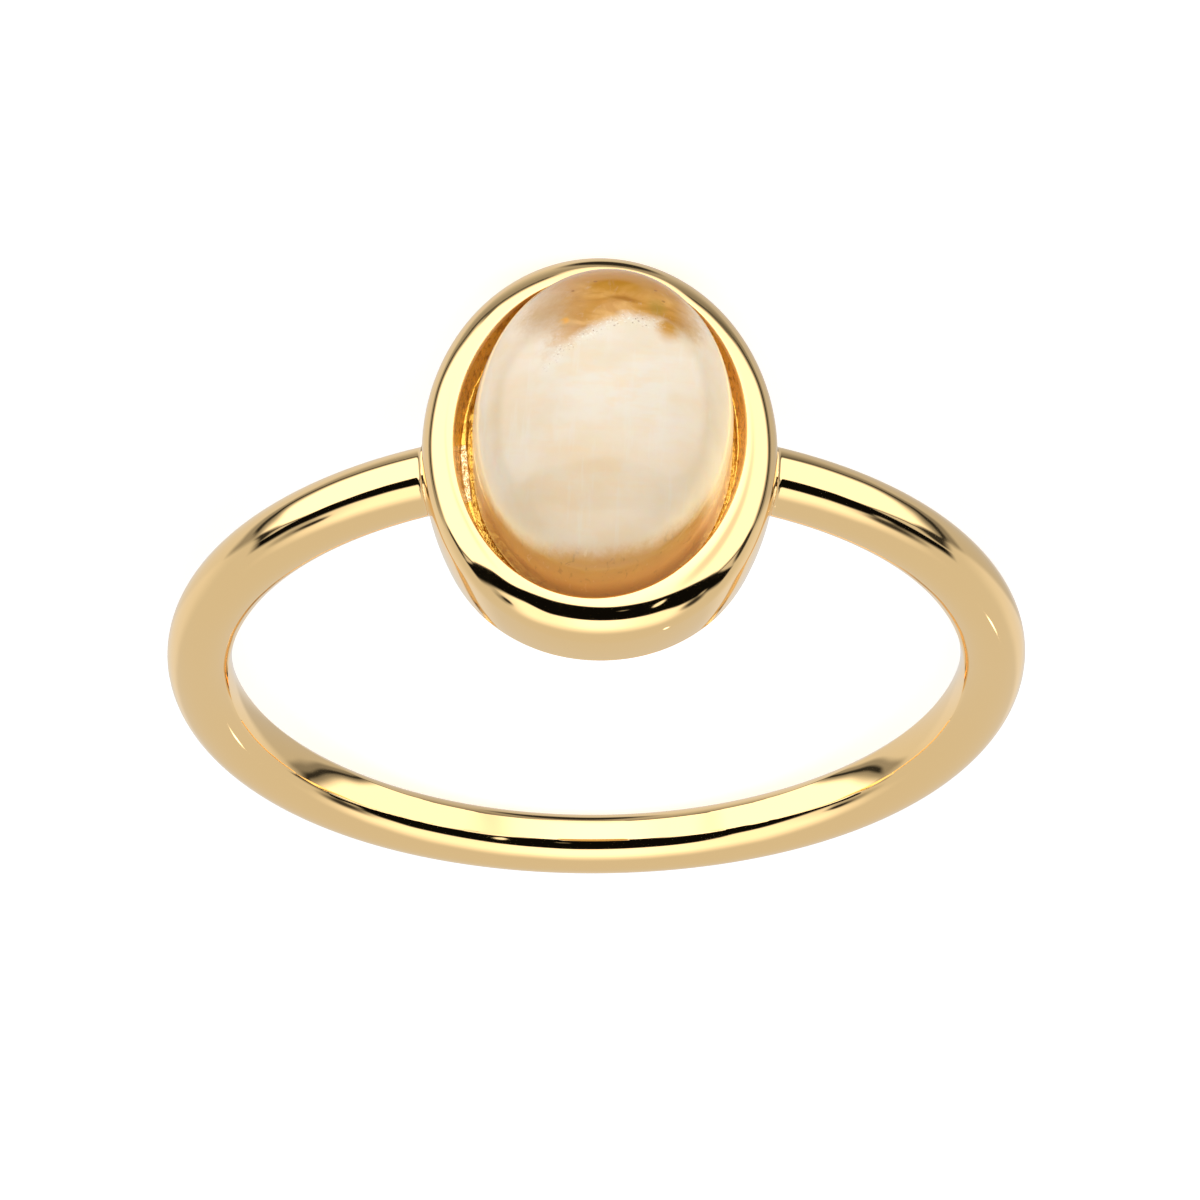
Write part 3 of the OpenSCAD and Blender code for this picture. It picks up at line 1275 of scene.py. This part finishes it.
def studio_gap(light, x, y, near):
    """Darkens the gap round the photographer, which arches over both sides and fades out there."""
    wide = abs(x)
    left = x * -1
    top = -16 + 33 * (wide / 90) ** 1.6 + 5 * x.rise(58, 80)
    top = top - 4.5 * left.rise(30, 48) * (1 - left.rise(68, 82))
    foot = 20 + 11 * (wide / 80) ** 2 + 4 * x.rise(35, 50)
    foot = foot - 7 * left.rise(25, 40) * (1 - left.rise(55, 82))
    softness = 1.5 + 4 * (wide / 80) ** 2
    gap = (y - top).rise(-1.5, 1.5) * (1 - (y - foot).rise(softness * -1, softness))
    light = light.toward(SEAM_LIGHT, blob(wide, y, (94, 8), (10, 16), 0.5) * near)
    light = light.toward(0.05, blob(x, y, (-66, 38), (11, 14), 0.9) * 0.6)
    light = patched(light, x, y, SHADES_UNDER_GAP)
    return light.toward(GAP_LIGHT, gap * near)


# Light of the room as the camera itself sees it
ROOM_SEEN = 0.95


def studio_world(view):
    """Studio round the ring: big soft boxes above and below a dark gap that the ring is seen through.
    Places are in degrees to the right of and below the photographer, as a mirror ball shows them."""
    world = bpy.data.worlds.new("studio")
    bpy.context.scene.world = world
    world.use_nodes = True
    world.node_tree.nodes.clear()
    n = Nodes(world.node_tree)
    right, up, back = n.parts(n.add("ShaderNodeTexCoord", out="Generated"), view)
    angle = n.maths("ARCCOSINE", back) * math.degrees(1)
    off = (right * right + up * up) ** 0.5 + 1e-6
    x = right * angle / off
    y = up * angle / off * -1

    # The boxes and the gap end at a slant far out at both sides
    near = 1 - (abs(x) + 0.35 * (y + 26) - 5 * x.rise(-1, 1)).rise(103, 108)
    light = studio_gap(studio_boxes(x, y, near), x, y, near)

    # Lamps: two small ones in the gap, a faint one below each of its ends and one far below
    light = patched(light, x, y, GAP_LAMPS)
    light = light.toward(0.5, blob(abs(x), y, (67, 28), (5, 5), 0.9))
    light = light.toward(3.5, blob(x, y, (61, 96), (3, 4), 0.5))

    # Right behind the ring the room is plain
    light = light.toward(0.75, angle.rise(148, 172))

    seen = Number(n, n.add("ShaderNodeLightPath", out="Is Camera Ray"))
    given = {"Color": solid(settings().stage.lamps), "Strength": light.toward(ROOM_SEEN, seen)}
    n.add("ShaderNodeOutputWorld", {"Surface": n.add("ShaderNodeBackground", given)}, out=None)
    world.cycles_visibility.diffuse = False
    world.cycles.sampling_method = "NONE"


# Lamps for the floor and the stone: width in metres, place and power in watts
LAMPS = {
    "key": (0.3, (0, -0.2, 0.25), 0.31),
    "fill": (0.9, (0, 0.05, 0.45), 1.3),
    "left": (0.25, (0.27, -0.2, 0.14), 0.3),
    "right": (0.25, (-0.27, -0.2, 0.14), 0.32)
}


def soft_light(name, size, place, power):
    """Soft box that lights the floor and the stone, and that the gold doesn't mirror."""
    data = bpy.data.lights.new(name, "AREA")
    data.shape = "DISK"
    data.size = size
    data.energy = power
    data.color = settings().stage.lamps
    light = bpy.data.objects.new(name, data)
    aimed = Vector(place).to_track_quat("Z", "Y").to_matrix().to_4x4()
    light.matrix_world = Matrix.Translation(place) @ aimed
    light.visible_glossy = False
    light.visible_camera = False
    bpy.context.scene.collection.objects.link(light)


# Half the floor's width, and the light that its paint adds, which makes it as white as the room
FLOOR_HALF = 1.0
FLOOR_LIGHT = 0.56


def make_floor():
    """White floor that the ring lies on, and that the gold doesn't mirror."""
    corners = [(x * FLOOR_HALF, y * FLOOR_HALF, 0) for x, y in ((-1, -1), (1, -1), (1, 1), (-1, 1))]
    floor = new_mesh_object("floor", corners, [(0, 1, 2, 3)])
    paint, n = new_material("floor")
    n.shade({
        "Base Color": solid(settings().stage.floor),
        "Emission Color": solid(settings().stage.lamps),
        "Emission Strength": FLOOR_LIGHT
    })
    paint.cycles.emission_sampling = "NONE"
    floor.data.materials.append(paint)
    floor.visible_glossy = False


class RING_OT_stage(bpy.types.Operator):
    """Set the floor, the lights and the camera"""

    bl_idname = "ring.stage"
    bl_label = "Stage"

    def execute(self, context):
        make_floor()
        studio_world(make_camera())
        context.scene.view_settings.view_transform = "Standard"
        for name, lamp in LAMPS.items():
            soft_light(name, *lamp)
        return {"FINISHED"}


class RingSettings(bpy.types.PropertyGroup):
    """All sizes and colours of the ring and its stage."""

    band: bpy.props.PointerProperty(name="Band", description="Sizes of the wire band", type=BandSizes)
    cup: bpy.props.PointerProperty(name="Cup", description="Sizes of the bezel cup", type=CupSizes)
    stone: bpy.props.PointerProperty(name="Stone", description="Sizes of the cabochon", type=StoneSizes)
    gold: bpy.props.PointerProperty(name="Gold", description="Colours of the gold", type=GoldColours)
    stone_colours: bpy.props.PointerProperty(
        name="Stone colours", description="Colours in the stone", type=StoneColours
    )
    stage: bpy.props.PointerProperty(name="Stage", description="Colours of the stage", type=StageColours)


OPERATORS = (RING_OT_metal, RING_OT_stone, RING_OT_stage)


class RING_PT_panel(bpy.types.Panel):
    """Lists the ring's pieces, sizes and colours."""

    bl_idname = "RING_PT_panel"
    bl_label = "Citrine ring"
    bl_space_type = "VIEW_3D"
    bl_region_type = "UI"
    bl_category = "Ring"

    def draw(self, context):
        for operator in OPERATORS:
            self.layout.operator(operator.bl_idname)
        ring = settings()
        for part in ring.__annotations__:
            box = self.layout.box()
            box.label(text=ring.bl_rna.properties[part].name)
            group = getattr(ring, part)
            for name in group.__annotations__:
                box.prop(group, name)


CLASSES = (
    BandSizes, CupSizes, StoneSizes, GoldColours, StoneColours, StageColours, RingSettings,
    *OPERATORS, RING_PT_panel
)


def register():
    """Adds the classes and the scene's sizes and colours."""
    for entry in CLASSES:
        bpy.utils.register_class(entry)
    bpy.types.Scene.citrine_ring = bpy.props.PointerProperty(type=RingSettings)


def unregister():
    """Takes them out again."""
    del bpy.types.Scene.citrine_ring
    for entry in reversed(CLASSES):
        bpy.utils.unregister_class(entry)


def main():
    """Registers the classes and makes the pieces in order."""
    register()
    bpy.ops.ring.metal()
    bpy.ops.ring.stone()
    bpy.ops.ring.stage()


if __name__ == "__main__":
    main()
